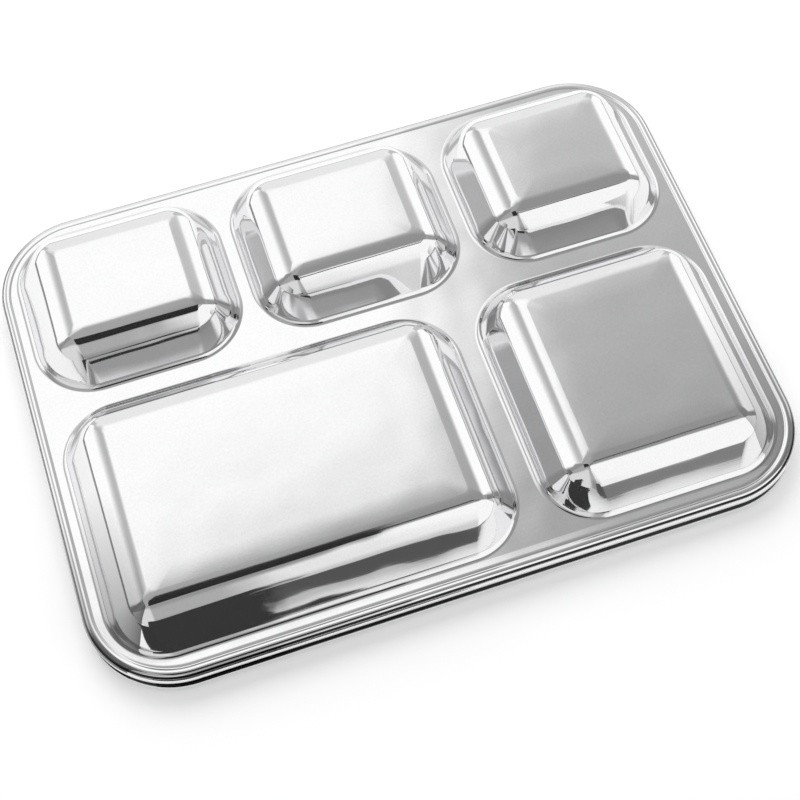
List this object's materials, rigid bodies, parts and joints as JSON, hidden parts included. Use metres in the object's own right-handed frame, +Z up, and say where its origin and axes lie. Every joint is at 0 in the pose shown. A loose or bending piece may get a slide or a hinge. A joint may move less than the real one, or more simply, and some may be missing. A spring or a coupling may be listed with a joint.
{
  "type": "compartment meal tray",
  "caption": "Nested stainless-steel compartment meal trays with sloped-wall wells and a rolled rim, lying face down; the upper tray lifts off.",
  "frame": {"origin": "centre of the footprint, on the surface that the lower tray's rolled rim rests on", "axes": "+X along the long side, +Y towards the row of small wells, +Z up; the trays lie face down as pictured, so the wells point up and turning the part over brings them to use"},
  "size_m": [0.285, 0.212, 0.0303],
  "materials": {
    "lower_tray_steel": "polished stainless steel",
    "upper_tray_steel": "polished stainless steel"
  },
  "bodies": {
    "lower_tray": {"lower_tray": "lower_tray_steel"},
    "upper_tray": {"upper_tray": "upper_tray_steel"}
  },
  "joints": [
    {"name": "upper_tray_lift", "type": "slide", "parent": "lower_tray", "child": "upper_tray", "axis": [0, 0, 1], "range_m": [0, 0.06]}
  ]
}
